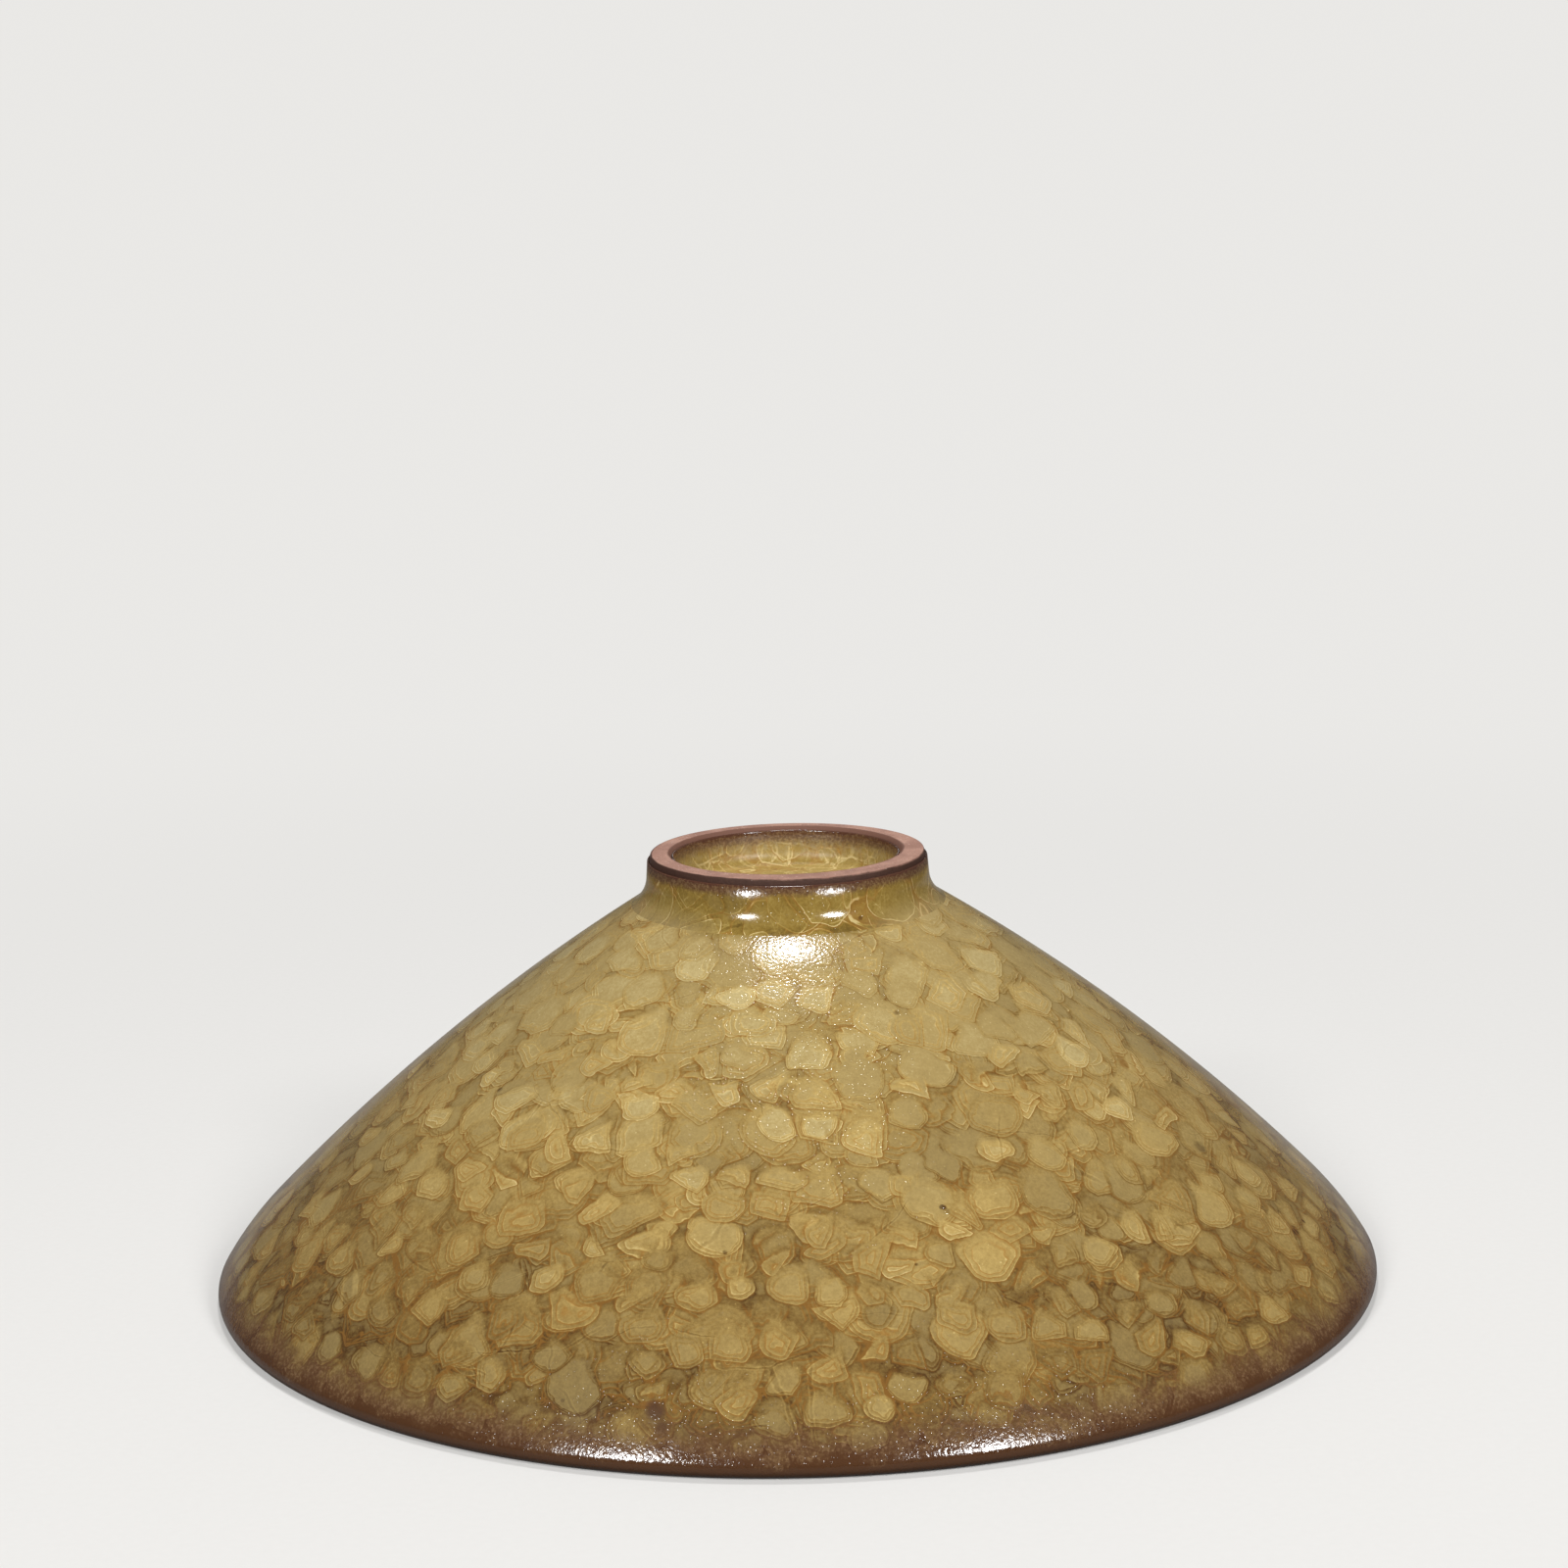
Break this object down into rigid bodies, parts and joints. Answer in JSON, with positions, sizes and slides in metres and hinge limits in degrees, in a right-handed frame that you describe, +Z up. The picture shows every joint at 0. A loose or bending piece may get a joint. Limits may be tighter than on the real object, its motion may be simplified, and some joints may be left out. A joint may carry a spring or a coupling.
{
  "type": "conical bowl",
  "caption": "Wide conical stoneware bowl on a low turned foot ring, crackle-glazed inside and out, stored mouth down on its lip.",
  "frame": {"origin": "centre of the mouth, in the plane that the lip stands on", "axes": "+Z up, from the mouth to the foot ring; X and Y lie in the mouth's plane, and the bowl is round about Z"},
  "size_m": [0.17, 0.17, 0.0626],
  "materials": {
    "body_clay": "matt fired stoneware",
    "foot_clay": "matt salmon-brown clay, darker along its bevels",
    "outer_glaze": "glossy straw-yellow glaze with layered crackle",
    "inner_glaze": "glossy straw-yellow glaze with layered crackle",
    "foot_side_glaze": "glossy olive glaze, pooled",
    "well_glaze": "glossy yellow-olive glaze with pale crack lines",
    "lip_glaze": "iron brown, run thin"
  },
  "bodies": {
    "root": {"clay_cone": "body_clay", "foot_ring": "foot_clay", "outer_glaze": "outer_glaze", "inner_glaze": "inner_glaze", "foot_side_glaze": "foot_side_glaze", "well_glaze": "well_glaze", "lip_band": "lip_glaze"}
  },
  "joints": []
}
